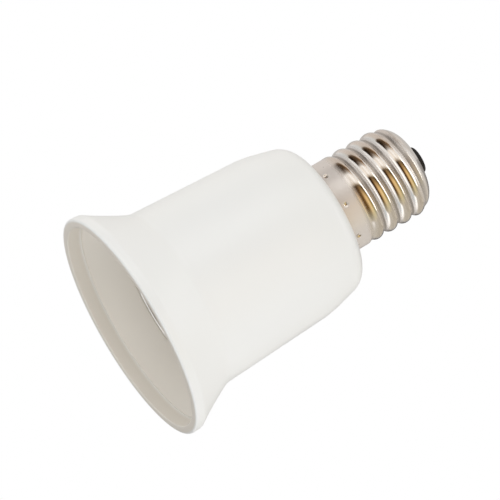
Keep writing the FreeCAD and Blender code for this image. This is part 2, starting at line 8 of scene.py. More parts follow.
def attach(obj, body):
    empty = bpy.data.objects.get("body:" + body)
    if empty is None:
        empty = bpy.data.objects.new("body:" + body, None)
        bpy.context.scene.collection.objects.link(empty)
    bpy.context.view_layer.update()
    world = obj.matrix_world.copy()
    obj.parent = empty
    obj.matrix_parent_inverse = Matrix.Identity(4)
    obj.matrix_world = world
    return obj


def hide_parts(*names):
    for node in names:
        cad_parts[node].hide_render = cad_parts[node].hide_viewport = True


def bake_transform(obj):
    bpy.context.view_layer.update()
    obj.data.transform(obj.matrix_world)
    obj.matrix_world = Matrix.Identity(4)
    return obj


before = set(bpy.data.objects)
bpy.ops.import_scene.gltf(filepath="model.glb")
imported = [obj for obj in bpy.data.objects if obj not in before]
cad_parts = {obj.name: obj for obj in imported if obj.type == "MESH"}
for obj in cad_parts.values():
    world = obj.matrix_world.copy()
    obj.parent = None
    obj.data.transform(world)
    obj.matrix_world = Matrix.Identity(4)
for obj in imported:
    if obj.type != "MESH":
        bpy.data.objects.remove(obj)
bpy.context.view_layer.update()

# Camera: a long lens, a little below the plane of the mouth and rolled, so that the screw cap
# points up to the right. The centre of the mouth falls on one named pixel of the picture.
IMAGE_SIZE = 500
LENS_MM = 700.0
SENSOR_MM = 36.0
PIXELS_PER_METRE = 5940.0
MOUTH_CENTRE_PIXEL = (129.15, 327.55)
CAMERA_TILT = math.radians(14.8)
AXIS_RISE = math.radians(30.2)

forward = Vector((0, math.cos(CAMERA_TILT), math.sin(CAMERA_TILT)))
axis_seen = Vector((0, -math.sin(CAMERA_TILT), math.cos(CAMERA_TILT)))
across_seen = Vector((1, 0, 0))
image_right = across_seen * math.sin(AXIS_RISE) + axis_seen * math.cos(AXIS_RISE)
image_up = axis_seen * math.sin(AXIS_RISE) - across_seen * math.cos(AXIS_RISE)
distance = LENS_MM / SENSOR_MM * IMAGE_SIZE / PIXELS_PER_METRE
right_of_centre = (MOUTH_CENTRE_PIXEL[0] - IMAGE_SIZE / 2) / PIXELS_PER_METRE
above_centre = (IMAGE_SIZE / 2 - MOUTH_CENTRE_PIXEL[1]) / PIXELS_PER_METRE

camera_data = bpy.data.cameras.new("camera")
camera_data.lens = LENS_MM
camera_data.sensor_width = SENSOR_MM
camera = bpy.data.objects.new("camera", camera_data)
bpy.context.scene.collection.objects.link(camera)
turn = Matrix((image_right, image_up, -forward)).transposed()
place = -forward * distance - image_right * right_of_centre - image_up * above_centre
camera.matrix_world = Matrix.Translation(place) @ turn.to_4x4()
bpy.context.scene.camera = camera

# Studio: white all round to the camera and to the metal, and an even dim white for the light
# on the object. Soft lamps stand at both sides, and a long narrow one over the cap. Curved
# cards, seen only in reflections, are the dark, pale and wooden parts of a room.
AMBIENT_STRENGTH = 0.62
SIDE_WATTS = 1.38
SIDE_SIZE = 0.45
SIDE_ACROSS = 0.87
SIDE_NEAR = 0.50
END_WATTS = 0.58
END_LENGTH = 0.90
END_WIDTH = 0.085
END_DIRECTION = (0.12, -0.26, 0.96)
END_COLOUR = (1.0, 0.95, 0.86)
LAMP_AIM = (0, 0, 0.03)
LAMP_DISTANCE = 0.60
CARD_RADIUS = 0.50
CARD_HEIGHT = 0.048
CARD_STEPS = 24
STREAK_SCALE = 45.0
STREAK_COLOURS = [(0.0, 0.35, 0.33, 0.31, 1.0), (1.0, 1.0, 1.0, 1.0, 1.0)]
STREAK_LOW = 0.4
STREAK_HIGH = 0.6
EVEN = [(0.0, 1.0, 1.0, 1.0, 1.0), (1.0, 1.0, 1.0, 1.0, 1.0)]


def feed(tree, value, socket):
    """Puts a number, a colour or the value of another socket into a socket."""
    if isinstance(value, bpy.types.NodeSocket):
        tree.links.new(value, socket)
    else:
        socket.default_value = value


def maths(tree, operation, *values):
    """Result of an operation on sockets and numbers."""
    node = tree.nodes.new("ShaderNodeMath")
    node.operation = operation
    for value, socket in zip(values, node.inputs):
        feed(tree, value, socket)
    return node.outputs[0]


def spread(tree, value, from_low, from_high, to_low=0.0, to_high=1.0):
    """Value carried from one range over to another, and held at its ends."""
    node = tree.nodes.new("ShaderNodeMapRange")
    feed(tree, value, node.inputs["Value"])
    feed(tree, from_low, node.inputs["From Min"])
    feed(tree, from_high, node.inputs["From Max"])
    feed(tree, to_low, node.inputs["To Min"])
    feed(tree, to_high, node.inputs["To Max"])
    return node.outputs["Result"]


def ramp(tree, value, colours):
    """Colour ramp node through colours, each with its place, red, green, blue and alpha."""
    node = tree.nodes.new("ShaderNodeValToRGB")
    elements = node.color_ramp.elements
    for place, *colour in colours[1:-1]:
        elements.new(place)
    for element, (place, *colour) in zip(elements, colours):
        element.position = place
        element.color = colour
    feed(tree, value, node.inputs["Fac"])
    return node


def mixed(tree, blend, share, first, second):
    """Colour that two make when they are blended by a share."""
    node = tree.nodes.new("ShaderNodeMixRGB")
    node.blend_type = blend
    feed(tree, share, node.inputs["Fac"])
    feed(tree, first, node.inputs["Color1"])
    feed(tree, second, node.inputs["Color2"])
    return node.outputs["Color"]


def split(tree, where):
    """The x, y and z of a place."""
    node = tree.nodes.new("ShaderNodeSeparateXYZ")
    feed(tree, where, node.inputs["Vector"])
    return node.outputs["X"], node.outputs["Y"], node.outputs["Z"]


def object_of(name, mesh):
    """Object of a mesh, in the scene."""
    data = bpy.data.meshes.new(name)
    mesh.to_mesh(data)
    mesh.free()
    made = bpy.data.objects.new(name, data)
    bpy.context.scene.collection.objects.link(made)
    return made


def lamp(name, direction, watts, length, width, in_metal):
    """Soft lamp that looks at the object from a direction, mirrored in metal or not."""
    data = bpy.data.lights.new(name, "AREA")
    data.shape = "RECTANGLE"
    data.energy = watts
    data.size = length
    data.size_y = width
    made = bpy.data.objects.new(name, data)
    bpy.context.scene.collection.objects.link(made)
    away = direction.normalized()
    made.matrix_world = (
        Matrix.Translation(Vector(LAMP_AIM) + away * LAMP_DISTANCE)
        @ away.to_track_quat("Z", "Y").to_matrix().to_4x4()
    )
    made.visible_glossy = in_metal
    return made


def card(name, headings, rises, along, upward, streaks):
    """Curved card round the cap, between two headings and two rises in degrees. Its colours
    along the headings are multiplied by those up its height, as far as the last number of
    each colour along says, and by faint streaks."""
    first, last = (math.radians(heading) for heading in headings)
    low, high = (math.radians(rise) for rise in rises)
    mesh = bmesh.new()
    arc = []
    for index in range(CARD_STEPS + 1):
        rise = low + (high - low) * index / CARD_STEPS
        arc.append(mesh.verts.new((0, -CARD_RADIUS * math.cos(rise), CARD_RADIUS * math.sin(rise))))
    edges = [mesh.edges.new(pair) for pair in zip(arc, arc[1:])]
    bmesh.ops.rotate(mesh, verts=arc, cent=(0, 0, 0), matrix=Matrix.Rotation(first, 3, "Z"))
    bmesh.ops.spin(
        mesh, geom=arc + edges, cent=(0, 0, 0), axis=(0, 0, 1), angle=last - first,
        steps=CARD_STEPS,
    )
    made = object_of(name, mesh)
    made.location = (0, 0, CARD_HEIGHT)
    made.visible_camera = False
    made.visible_diffuse = False
    made.visible_transmission = False
    made.visible_volume_scatter = False
    made.visible_shadow = False

    paint = bpy.data.materials.new(name)
    paint.use_nodes = True
    tree = paint.node_tree
    tree.nodes.remove(tree.nodes["Principled BSDF"])
    x, y, z = split(tree, tree.nodes.new("ShaderNodeTexCoord").outputs["Object"])
    heading = maths(tree, "ARCTAN2", x, maths(tree, "MULTIPLY", y, -1.0))
    across = ramp(tree, spread(tree, heading, first, last), along)
    bottom, top = CARD_RADIUS * math.sin(low), CARD_RADIUS * math.sin(high)
    lengthwise = ramp(tree, spread(tree, z, bottom, top), upward)
    stretched = tree.nodes.new("ShaderNodeCombineXYZ")
    feed(tree, heading, stretched.inputs["X"])
    feed(tree, maths(tree, "MULTIPLY", z, STREAK_SCALE), stretched.inputs["Y"])
    pattern = tree.nodes.new("ShaderNodeTexNoise")
    pattern.inputs["Scale"].default_value = 1.0
    feed(tree, stretched.outputs[0], pattern.inputs["Vector"])
    streak = spread(tree, pattern.outputs["Fac"], STREAK_LOW, STREAK_HIGH)
    streaked = ramp(tree, streak, STREAK_COLOURS).outputs["Color"]
    colour = mixed(
        tree, "MULTIPLY", across.outputs["Alpha"], across.outputs["Color"],
        lengthwise.outputs["Color"],
    )
    glow = tree.nodes.new("ShaderNodeEmission")
    feed(tree, mixed(tree, "MULTIPLY", streaks, colour, streaked), glow.inputs["Color"])
    feed(tree, glow.outputs[0], tree.nodes["Material Output"].inputs["Surface"])
    made.data.materials.append(paint)


bpy.context.scene.view_settings.view_transform = "Standard"
world = bpy.data.worlds.new("studio")
bpy.context.scene.world = world
world.use_nodes = True
sky = world.node_tree
ray = sky.nodes.new("ShaderNodeLightPath").outputs
seen = maths(sky, "MAXIMUM", ray["Is Camera Ray"], ray["Is Glossy Ray"])
seen = maths(sky, "MAXIMUM", seen, ray["Is Transmission Ray"])
background = sky.nodes["Background"].inputs
background["Color"].default_value = (1, 1, 1, 1)
feed(sky, spread(sky, seen, 0.0, 1.0, AMBIENT_STRENGTH, 1.0), background["Strength"])

for name, side in (("left_lamp", -1), ("right_lamp", 1)):
    direction = across_seen * side * SIDE_ACROSS - forward * SIDE_NEAR
    lamp(name, direction, SIDE_WATTS, SIDE_SIZE, SIDE_SIZE, False)
end_lamp = lamp("end_lamp", Vector(END_DIRECTION), END_WATTS, END_LENGTH, END_WIDTH, True)
end_lamp.data.color = END_COLOUR

card("dark_card", headings=(-102, -54), rises=(-28, 50), along=[
    (0.0, 0.80, 0.74, 0.68, 0.0), (0.12, 0.30, 0.22, 0.15, 1.0), (0.30, 0.12, 0.08, 0.045, 1.0),
    (0.62, 0.16, 0.11, 0.07, 1.0), (0.82, 0.60, 0.54, 0.48, 1.0), (1.0, 1.1, 1.08, 1.05, 0.0),
], upward=[
    (0.0, 0.15, 0.12, 0.10, 1.0), (0.25, 0.30, 0.25, 0.20, 1.0), (0.5, 0.80, 0.75, 0.70, 1.0),
    (0.75, 1.2, 1.1, 1.0, 1.0), (1.0, 2.5, 2.3, 2.1, 1.0),
], streaks=0.75)
card("pale_card", headings=(-54, -20), rises=(-34, 56), along=[
    (0.0, 1.35, 1.33, 1.30, 1.0), (0.7, 1.45, 1.42, 1.38, 1.0), (0.86, 1.0, 0.92, 0.82, 1.0),
    (1.0, 0.45, 0.36, 0.25, 1.0),
], upward=[
    (0.0, 1.0, 0.97, 0.94, 1.0), (0.25, 0.85, 0.80, 0.74, 1.0), (0.5, 1.05, 1.05, 1.05, 1.0),
    (1.0, 0.9, 0.86, 0.8, 1.0),
], streaks=0.45)
card("wooden_card", headings=(-20, 84), rises=(-34, 56), along=[
    (0.0, 0.20, 0.14, 0.08, 1.0), (0.14, 0.50, 0.34, 0.18, 1.0), (0.34, 1.15, 0.85, 0.46, 1.0),
    (0.62, 1.15, 0.95, 0.58, 1.0), (0.80, 0.88, 0.82, 0.58, 0.6), (1.0, 0.78, 0.72, 0.62, 0.0),
], upward=[
    (0.0, 0.08, 0.05, 0.03, 1.0), (0.24, 0.18, 0.12, 0.06, 1.0), (0.44, 0.95, 0.85, 0.7, 1.0),
    (0.7, 0.95, 0.9, 0.75, 1.0), (0.88, 0.40, 0.36, 0.22, 1.0), (1.0, 0.28, 0.25, 0.15, 1.0),
], streaks=0.45)
card("right_card", headings=(84, 150), rises=(-85, 72), along=[
    (0.0, 1.0, 1.0, 1.0, 1.0), (1.0, 0.95, 0.95, 0.95, 1.0),
], upward=[
    (0.0, 0.78, 0.86, 0.92, 1.0), (0.22, 0.82, 0.90, 0.95, 1.0), (0.28, 1.7, 1.7, 1.7, 1.0),
    (0.34, 1.7, 1.7, 1.7, 1.0), (0.42, 0.75, 0.71, 0.63, 1.0), (0.8, 0.68, 0.62, 0.52, 1.0),
    (1.0, 0.85, 0.80, 0.72, 1.0),
], streaks=0.4)
card("left_card", headings=(-150, -102), rises=(-85, 72), along=[
    (0.0, 1.0, 1.0, 1.0, 1.0), (1.0, 0.95, 0.92, 0.88, 1.0),
], upward=[
    (0.0, 0.80, 0.86, 0.90, 1.0), (0.35, 0.88, 0.92, 0.95, 1.0), (0.5, 0.85, 0.80, 0.76, 1.0),
    (0.8, 0.80, 0.73, 0.68, 1.0), (1.0, 0.85, 0.8, 0.76, 1.0),
], streaks=0.3)
card("low_strip", headings=(-58, 84), rises=(-64, -46), along=[
    (0.0, 0.9, 0.9, 0.9, 1.0), (0.15, 1.9, 1.9, 1.9, 1.0), (0.85, 1.9, 1.9, 1.9, 1.0),
    (1.0, 0.9, 0.9, 0.9, 1.0),
], upward=EVEN, streaks=0.5)
card("back_card", headings=(150, 210), rises=(-85, 72), along=[
    (0.0, 0.60, 0.58, 0.56, 1.0), (0.2, 0.13, 0.12, 0.115, 1.0), (0.8, 0.13, 0.12, 0.115, 1.0),
    (1.0, 0.60, 0.58, 0.56, 1.0),
], upward=EVEN, streaks=0.0)

# Floor: pale and matt, just below the plane that the mouth stands on. It is seen only from
# above, because the camera looks up from below it, and it catches the object's shadow.
FLOOR_SIZE = 3.0
FLOOR_DROP = 0.0002
FLOOR_COLOUR = (0.93, 0.93, 0.93, 1)

floor_mesh = bmesh.new()
bmesh.ops.create_grid(floor_mesh, x_segments=1, y_segments=1, size=FLOOR_SIZE / 2)
bmesh.ops.translate(floor_mesh, verts=floor_mesh.verts, vec=(0, 0, -FLOOR_DROP))
floor = object_of("floor", floor_mesh)
floor.visible_diffuse = False
floor.visible_glossy = False
floor.visible_transmission = False
floor.visible_shadow = False

floor_paint = bpy.data.materials.new("pale_floor")
floor_paint.use_nodes = True
tree = floor_paint.node_tree
tree.nodes.remove(tree.nodes["Principled BSDF"])
matt = tree.nodes.new("ShaderNodeBsdfDiffuse")
matt.inputs["Color"].default_value = FLOOR_COLOUR
clear = tree.nodes.new("ShaderNodeBsdfTransparent")
two_sided = tree.nodes.new("ShaderNodeMixShader")
feed(tree, tree.nodes.new("ShaderNodeNewGeometry").outputs["Backfacing"], two_sided.inputs["Fac"])
feed(tree, matt.outputs[0], two_sided.inputs[1])
feed(tree, clear.outputs[0], two_sided.inputs[2])
feed(tree, two_sided.outputs[0], tree.nodes["Material Output"].inputs["Surface"])
floor.data.materials.append(floor_paint)

# Housing: one white moulding in a hard semi-gloss plastic. A funnel mouth, painted darker and
# warmer inside as shade, leads to the bore of the lamp sleeve, whose floor has a pad for the
# centre contact. A hollow neck carries the screw cap. It has fine mould grain, faint flow marks
# and soft edges.
MM = 0.001
MERGE = 1e-7
NOISE_LOW = 0.35
NOISE_HIGH = 0.65
COLUMNS = 256
MOUTH_RADIUS = 19.10
MOUTH_ROUND = 0.22
MOUTH_DEPTH = 2.60
FUNNEL_RADIUS = 18.70
FUNNEL_ROUND = 0.12
BORE_RADIUS = 13.95
SLEEVE_FRONT = 8.20
LEDGE_WIDTH = 0.62
LEDGE_DEPTH = 0.70
LEDGE_RISE = 0.25
LEDGE_ROUND = 0.06
FLOOR_HEIGHT = 31.50
CAVITY_RADIUS = 6.30
CAVITY_HEIGHT = 34.50
NECK_RADIUS = 7.82
NECK_TOP = 42.88
NECK_CHAMFER = 0.30
END_HEIGHT = 39.73
END_RADIUS = 13.08
END_ROUND = 2.95
SHOULDER_RADIUS = 15.15
SHOULDER_HEIGHT = 31.60
SHOULDER_ROUND = 1.6
WAIST_RADIUS = 16.386
WAIST_HEIGHT = 9.585
WAIST_ROUND = 0.6
FLARE_RADIUS = 18.27
FLARE_HEIGHT = 5.55
FLARE_ROUND = 3.6
BAND_RADIUS = 20.67
BAND_HEIGHT = 1.80
BAND_ROUND = 0.25
RIM_RADIUS = 20.78
RIM_ROUND = 0.49
PAD_HALF_LENGTH = 6.50
PAD_HALF_WIDTH = 3.20
PAD_HEIGHT = 1.20
PAD_ROUND = 0.25
HOUSING_COLOURS = ((0.855, 0.855, 0.830, 1), (0.875, 0.875, 0.858, 1))
HOUSING_IOR = 1.50
HOUSING_ROUGHNESS = (0.32, 0.42)
# Painted shade: the darker, warmer colour of the inside of the funnel mouth.
MOUTH_SHADE_COLOUR = (0.785, 0.735, 0.655, 1)
INSIDE_RADIUS = 20.35
INSIDE_BLEND = 0.2
INSIDE_SLOPE = 0.50
INSIDE_TOP = 9.0
INSIDE_TOP_END = 9.5


def wire_profile(mesh, corners, closed):
    """Wire in the XZ plane through corners (radius, height, rounding run, segments)."""
    points = [mesh.verts.new((x * MM, 0, z * MM)) for x, z, run, segments in corners]
    ends = points[1:] + points[:1] if closed else points[1:]
    for start, end in zip(points, ends):
        mesh.edges.new((start, end))
    for point, (x, z, run, segments) in zip(points, corners):
        if run:
            bmesh.ops.bevel(
                mesh, geom=[point], offset=run * MM, offset_type="OFFSET",
                segments=segments, profile=0.5, affect="VERTICES", material=-1,
            )


def spin_round(mesh, columns):
    """Full turn of everything in the mesh about the axis, closed and facing outwards."""
    bmesh.ops.spin(
        mesh, geom=mesh.verts[:] + mesh.edges[:], cent=(0, 0, 0), axis=(0, 0, 1),
        angle=2 * math.pi, steps=columns, use_merge=True,
    )
    bmesh.ops.remove_doubles(mesh, verts=mesh.verts, dist=MERGE)
    bmesh.ops.recalc_face_normals(mesh, faces=mesh.faces)


def finished(name, mesh, sharp_angle=35.0):
    """Object of a mesh, smooth but for edges sharper than an angle in degrees."""
    made = object_of(name, mesh)
    made.data.shade_smooth()
    made.data.set_sharp_from_angle(angle=math.radians(sharp_angle))
    return made


def new_finish(name, metallic=0.0):
    """Material, with its node tree, its shader and object coordinates."""
    made = bpy.data.materials.new(name)
    made.use_nodes = True
    tree = made.node_tree
    shader = tree.nodes["Principled BSDF"].inputs
    shader["Metallic"].default_value = metallic
    return made, tree, shader, tree.nodes.new("ShaderNodeTexCoord").outputs["Object"]


def noise(tree, where, scale, detail=3.0, stretch=(1, 1, 1)):
    """Noise on object coordinates, its pattern stretched along the axes."""
    mapping = tree.nodes.new("ShaderNodeMapping")
    mapping.inputs["Scale"].default_value = stretch
    feed(tree, where, mapping.inputs["Vector"])
    texture = tree.nodes.new("ShaderNodeTexNoise")
    texture.inputs["Scale"].default_value = scale
    texture.inputs["Detail"].default_value = detail
    feed(tree, mapping.outputs["Vector"], texture.inputs["Vector"])
    return texture.outputs["Fac"]


def wandering(tree, value, low, high):
    """Value between two limits that follows a noise."""
    return spread(tree, value, NOISE_LOW, NOISE_HIGH, low, high)


def tinted(tree, value, low_colour, high_colour):
    """Colour between two that follows a noise."""
    return ramp(tree, value, [(NOISE_LOW, *low_colour), (NOISE_HIGH, *high_colour)]).outputs["Color"]


def grain(tree, shader, value, depth, strength):
    """Bump of a depth in metres on the shader's normal."""
    bump = tree.nodes.new("ShaderNodeBump")
    bump.inputs["Distance"].default_value = depth
    bump.inputs["Strength"].default_value = strength
    feed(tree, value, bump.inputs["Height"])
    feed(tree, bump.outputs["Normal"], shader["Normal"])


def height_and_radius(tree, where):
    """Height of a place, and how far it lies from the axis."""
    flat = tree.nodes.new("ShaderNodeVectorMath")
    flat.operation = "MULTIPLY"
    flat.inputs[1].default_value = (1, 1, 0)
    feed(tree, where, flat.inputs[0])
    length = tree.nodes.new("ShaderNodeVectorMath")
    length.operation = "LENGTH"
    feed(tree, flat.outputs["Vector"], length.inputs[0])
    return split(tree, where)[2], length.outputs["Value"]


moulding = bmesh.new()
wire_profile(moulding, [
    (MOUTH_RADIUS, 0, MOUTH_ROUND, 4),
    (MOUTH_RADIUS, MOUTH_DEPTH, 0, 0),
    (FUNNEL_RADIUS, MOUTH_DEPTH, FUNNEL_ROUND, 3),
    (BORE_RADIUS + LEDGE_WIDTH, SLEEVE_FRONT - LEDGE_RISE, LEDGE_ROUND, 2),
    (BORE_RADIUS + LEDGE_WIDTH, SLEEVE_FRONT + LEDGE_DEPTH, 0, 0),
    (BORE_RADIUS, SLEEVE_FRONT + LEDGE_DEPTH, 0, 0),
    (BORE_RADIUS, FLOOR_HEIGHT, 0, 0),
    (0, FLOOR_HEIGHT, 0, 0),
    (0, CAVITY_HEIGHT, 0, 0),
    (CAVITY_RADIUS, CAVITY_HEIGHT, 0, 0),
    (CAVITY_RADIUS, NECK_TOP, 0, 0),
    (NECK_RADIUS, NECK_TOP, NECK_CHAMFER, 3),
    (NECK_RADIUS, END_HEIGHT, 0, 0),
    (END_RADIUS, END_HEIGHT, END_ROUND, 16),
    (SHOULDER_RADIUS, SHOULDER_HEIGHT, SHOULDER_ROUND, 6),
    (WAIST_RADIUS, WAIST_HEIGHT, WAIST_ROUND, 4),
    (FLARE_RADIUS, FLARE_HEIGHT, FLARE_ROUND, 12),
    (BAND_RADIUS, BAND_HEIGHT, BAND_ROUND, 3),
    (RIM_RADIUS, 0, RIM_ROUND, 8),
], closed=True)
spin_round(moulding, COLUMNS)
housing = finished("housing_moulding", moulding)
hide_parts("housing")
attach(housing, "adapter")

white, tree, shader, where = new_finish("white_moulded_plastic")
shader["IOR"].default_value = HOUSING_IOR
mould_grain = noise(tree, where, scale=2600.0, detail=2.0)
grain(tree, shader, mould_grain, depth=0.00002, strength=0.35)
sheen = wandering(tree, noise(tree, where, scale=60.0), *HOUSING_ROUGHNESS)
feed(tree, sheen, shader["Roughness"])
height, radius = height_and_radius(tree, where)
# Painted shade: inside the funnel mouth the white is mixed to a darker, warmer colour.
outer_side = spread(
    tree, maths(tree, "MULTIPLY_ADD", height, INSIDE_SLOPE, radius),
    (INSIDE_RADIUS - INSIDE_BLEND) * MM, (INSIDE_RADIUS + INSIDE_BLEND) * MM,
)
behind_mouth = spread(tree, height, INSIDE_TOP * MM, INSIDE_TOP_END * MM)
flow_marks = noise(tree, where, scale=45.0, detail=2.0, stretch=(1, 1, 0.4))
white_skin = tinted(tree, flow_marks, *HOUSING_COLOURS)
share = maths(tree, "MAXIMUM", outer_side, behind_mouth)
feed(tree, mixed(tree, "MIX", share, MOUTH_SHADE_COLOUR, white_skin), shader["Base Color"])
housing.data.materials.append(white)

pad = bmesh.new()
bmesh.ops.create_cube(pad, size=1.0)
bmesh.ops.scale(
    pad, verts=pad.verts,
    vec=(2 * PAD_HALF_LENGTH * MM, 2 * PAD_HALF_WIDTH * MM, 2 * PAD_HEIGHT * MM),
)
bmesh.ops.translate(pad, verts=pad.verts, vec=(0, 0, FLOOR_HEIGHT * MM))
bmesh.ops.bevel(
    pad, geom=pad.edges[:], offset=PAD_ROUND * MM, offset_type="OFFSET",
    segments=3, profile=0.5, affect="EDGES", material=-1,
)
pad_block = finished("contact_pad", pad)
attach(pad_block, "adapter")
pad_block.data.materials.append(white)

# Screw cap: thin nickel-plated sheet, rolled with a right-handed round thread, and locked to
# the neck by a ring of round stakes. The plate is a little warm and dull, burnished on the
# crests, the stakes and the end's shoulder, and painted dark in the groove bottoms as shade.
CAP_BOTTOM = 39.75
CAP_TOP = 57.9
CAP_CREST = 8.25
CAP_SHEET = 0.30
CAP_PITCH = 2.822
CAP_DEPTH = 0.66
CAP_CREST_SHARE = 0.74
CAP_CREST_HEIGHT = 42.73
CAP_RELIEF = 0.10
CAP_THREAD_START = 43.10
CAP_FADE_IN = 2.10
CAP_THREAD_END = 56.30
CAP_FADE_OUT = 3.10
CAP_ROUND_START = 53.20
CAP_ROUND = 4.00
CAP_END_ANGLE = math.radians(14.0)
CAP_HOLE = 2.60
CAP_ROWS = 184
CAP_COLUMNS = 192
LONG_EDGE = 10.0
STAKES = 8
STAKE_FIRST = math.radians(-86.5)
STAKE_HEIGHT = 41.30
STAKE_RADIUS = 0.52
STAKE_DEPTH = 0.26
STAKE_TOP = 42.2
STAKE_TOP_END = 42.3
STAKE_DULL_DEPTH = 0.02
STAKE_BRIGHT_DEPTH = 0.06
BURNISHED_HEIGHTS = ((43.1, 0.0), (44.3, 1.0), (54.6, 1.0), (55.7, 0.1))
DULL_RADIUS = 7.78
BRIGHT_RADIUS = 8.02
CAP_SHOULDER_LOW = 55.0
CAP_SHOULDER_HIGH = 55.5
CAP_SHOULDER_SHARE = 0.75
# Painted shade: how far above the groove bottom the dark colour clears, and where it is full.
GROOVE_SHADE_CLEAR = 0.09
GROOVE_SHADE_FULL = 0.01
GROOVE_SHADE_COLOUR = (0.36, 0.335, 0.31, 1)
DULL_NICKEL = (0.68, 0.63, 0.59, 1)
BRIGHT_NICKEL = ((0.74, 0.69, 0.635, 1), (0.80, 0.76, 0.72, 1))
BRIGHT_ENOUGH = 0.7
CAP_DULL_ROUGHNESS = 0.34
CAP_BRIGHT_ROUGHNESS = 0.12
CAP_MOTTLE = (0.8, 1.2)
SKIRT_METALLIC = 0.30
THREAD_METALLIC = 0.65
METALLIC_ON_CRESTS = 0.35
METALLIC_ON_STAKES = 0.65


def thread_drop(distance, pitch, depth, crest_share):
    """Drop below the crest of a round thread, its crest and groove tangent arcs."""
    flank = 2 * math.atan(2 * depth / pitch)
    crest = pitch / (2 * math.sin(flank)) * crest_share
    groove = pitch / (2 * math.sin(flank)) - crest
    from_crest = abs((distance / pitch + 0.5) % 1.0 - 0.5) * pitch
    if from_crest < crest * math.sin(flank):
        return crest - math.sqrt(crest**2 - from_crest**2)
    return depth - groove + math.sqrt(groove**2 - (pitch / 2 - from_crest) ** 2)


def faded(share):
    """Share from 0 to 1, eased at both ends."""
    share = min(max(share, 0.0), 1.0)
    return share * share * (3 - 2 * share)


def roll_thread(mesh, press):
    """Moves each point towards the axis by press(turn, height), in millimetres."""
    for vert in mesh.verts:
        radius = math.hypot(vert.co.x, vert.co.y)
        turn_share = math.atan2(vert.co.y, vert.co.x) / (2 * math.pi)
        pressed = radius - press(turn_share, vert.co.z / MM) * MM
        vert.co.x *= pressed / radius
        vert.co.y *= pressed / radius


def cap_press(turn_share, height):
    """How deep the skirt, the thread and the stakes are pressed into the cap's sheet."""
    grown = faded((height - CAP_THREAD_START) / CAP_FADE_IN)
    share = grown * faded((CAP_THREAD_END - height) / CAP_FADE_OUT)
    along = height - CAP_CREST_HEIGHT - CAP_PITCH * turn_share
    pressed = CAP_RELIEF * (1 - grown)
    pressed += share * thread_drop(along, CAP_PITCH, CAP_DEPTH, CAP_CREST_SHARE)
    if abs(height - STAKE_HEIGHT) < STAKE_RADIUS:
        step = 2 * math.pi / STAKES
        beside = (turn_share * 2 * math.pi - STAKE_FIRST + step / 2) % step - step / 2
        away = math.hypot(beside * CAP_CREST, height - STAKE_HEIGHT) / STAKE_RADIUS
        pressed += STAKE_DEPTH * max(0.0, 1 - away * away)
    return pressed


def cut_rows(mesh, rows):
    """Cuts the wall of a profile, its one long edge, into rows."""
    wall = [edge for edge in mesh.edges if edge.calc_length() > LONG_EDGE * MM]
    bmesh.ops.subdivide_edges(mesh, edges=wall, cuts=rows)


def walled(made, thickness, side):
    """Gives a sheet its thickness in millimetres, to one side of its faces or about them."""
    sheet = made.modifiers.new("sheet", "SOLIDIFY")
    sheet.thickness = thickness * MM
    sheet.offset = side


cap = bmesh.new()
cone_radius = CAP_CREST - CAP_ROUND + CAP_ROUND * math.sin(CAP_END_ANGLE)
cone_height = CAP_ROUND_START + CAP_ROUND * math.cos(CAP_END_ANGLE)
corner_run = CAP_ROUND * math.tan((math.pi / 2 - CAP_END_ANGLE) / 2)
hole_height = cone_height + (cone_radius - CAP_HOLE) * math.tan(CAP_END_ANGLE)
wire_profile(cap, [
    (CAP_CREST, CAP_BOTTOM, 0, 0),
    (CAP_CREST, CAP_ROUND_START + corner_run, corner_run, 24),
    (CAP_HOLE, hole_height, 0, 0),
], closed=False)
cut_rows(cap, CAP_ROWS)
spin_round(cap, CAP_COLUMNS)
near_stakes = [
    edge for edge in cap.edges
    if all(abs(vert.co.z / MM - STAKE_HEIGHT) < 2 * STAKE_RADIUS for vert in edge.verts)
]
bmesh.ops.subdivide_edges(cap, edges=near_stakes, cuts=1, use_grid_fill=True)
roll_thread(cap, cap_press)
bmesh.ops.recalc_face_normals(cap, faces=cap.faces)
cap_shell = finished("screw_cap", cap, sharp_angle=60.0)
walled(cap_shell, CAP_SHEET, -1.0)
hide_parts("cap_shell")
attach(cap_shell, "adapter")

nickel, tree, shader, where = new_finish("nickel_plate")
rolling_marks = noise(tree, where, scale=900.0, detail=4.0, stretch=(1, 1, 3))
grain(tree, shader, rolling_marks, depth=0.00003, strength=0.12)
height, radius = height_and_radius(tree, where)
threaded = ramp(tree, spread(tree, height, CAP_BOTTOM * MM, CAP_TOP * MM), [
    ((level - CAP_BOTTOM) / (CAP_TOP - CAP_BOTTOM), share, share, share, 1)
    for level, share in BURNISHED_HEIGHTS
]).outputs["Color"]
crests = maths(
    tree, "MULTIPLY", threaded, spread(tree, radius, DULL_RADIUS * MM, BRIGHT_RADIUS * MM),
)
end_shoulder = spread(
    tree, height, CAP_SHOULDER_LOW * MM, CAP_SHOULDER_HIGH * MM, 0.0, CAP_SHOULDER_SHARE,
)
skirt_radius = CAP_CREST - CAP_RELIEF
struck = maths(
    tree, "MULTIPLY",
    spread(
        tree, radius, (skirt_radius - STAKE_BRIGHT_DEPTH) * MM,
        (skirt_radius - STAKE_DULL_DEPTH) * MM, 1.0, 0.0,
    ),
    spread(tree, height, STAKE_TOP * MM, STAKE_TOP_END * MM, 1.0, 0.0),
)
rubbed = maths(tree, "MAXIMUM", crests, end_shoulder)
bright = maths(tree, "MAXIMUM", rubbed, struck)
roughness = spread(tree, bright, 0.0, 1.0, CAP_DULL_ROUGHNESS, CAP_BRIGHT_ROUGHNESS)
mottle = wandering(tree, noise(tree, where, scale=350.0), *CAP_MOTTLE)
feed(tree, maths(tree, "MULTIPLY", roughness, mottle), shader["Roughness"])
polish = maths(
    tree, "ADD", spread(tree, rubbed, 0.0, 1.0, 0.0, METALLIC_ON_CRESTS),
    spread(tree, struck, 0.0, 1.0, 0.0, METALLIC_ON_STAKES),
)
